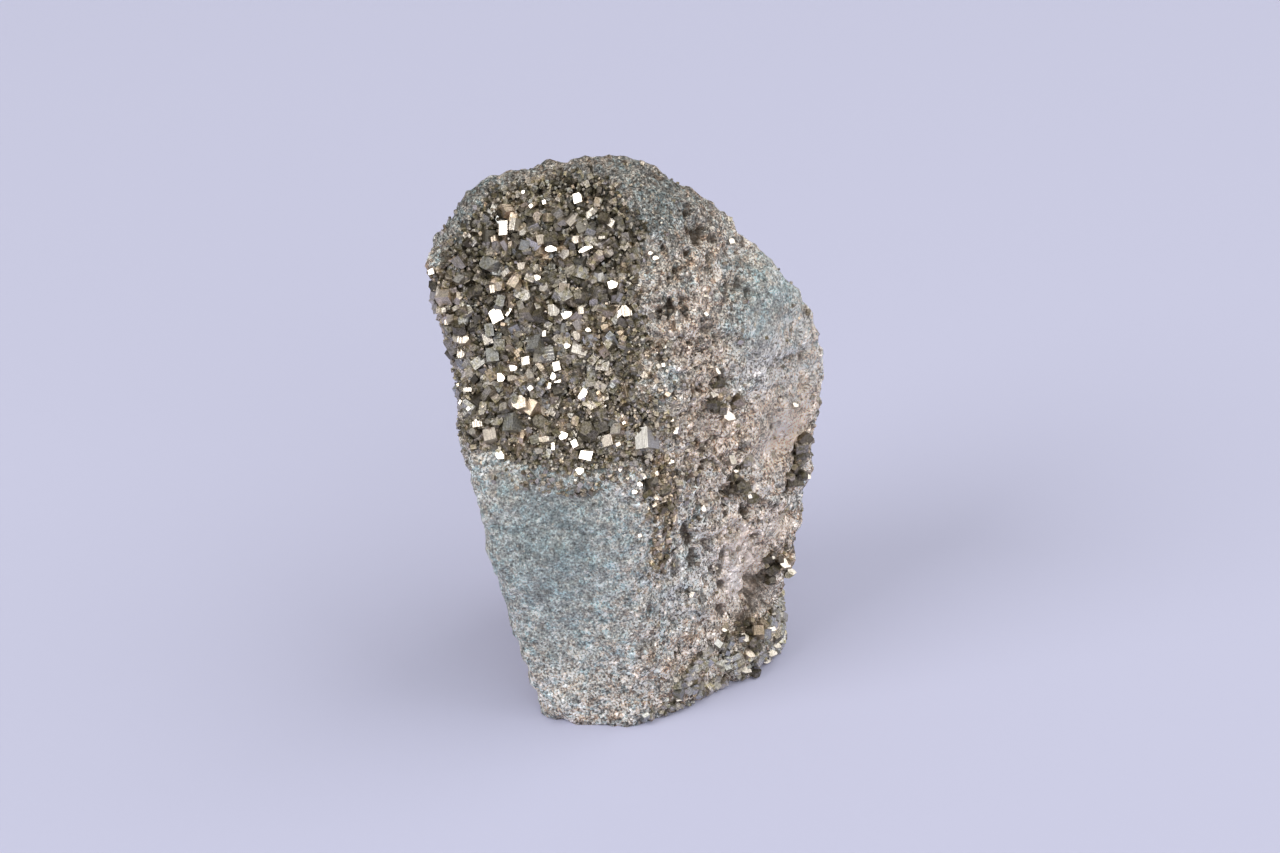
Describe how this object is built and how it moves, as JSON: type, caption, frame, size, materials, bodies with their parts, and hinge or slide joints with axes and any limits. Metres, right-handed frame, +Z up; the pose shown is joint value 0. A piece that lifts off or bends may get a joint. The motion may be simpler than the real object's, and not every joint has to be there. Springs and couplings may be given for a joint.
{
  "type": "pyrite freeform",
  "caption": "Free-standing lump of rough matrix rock with a druse of metallic pyrite crystals on its front and small clusters on its flank.",
  "frame": {"origin": "centre of the bounding box at the level of the flat base", "axes": "+Z up, +X to the viewer's right, -Y towards the viewer, who faces the druse"},
  "size_m": [0.0328, 0.0226, 0.0455],
  "materials": {
    "matrix_stone": "rough, granular, grey-green to tan",
    "pyrite": "bright metallic crystal faces, pale brassy grey"
  },
  "bodies": {
    "root": {"matrix_rock": "matrix_stone", "pyrite_druse": "pyrite", "seam_crystals": "pyrite", "flank_crystals": "pyrite", "lower_flank_crystals": "pyrite", "rim_crystals": "pyrite", "low_rim_crystals": "pyrite", "foot_crystals": "pyrite"}
  },
  "joints": []
}
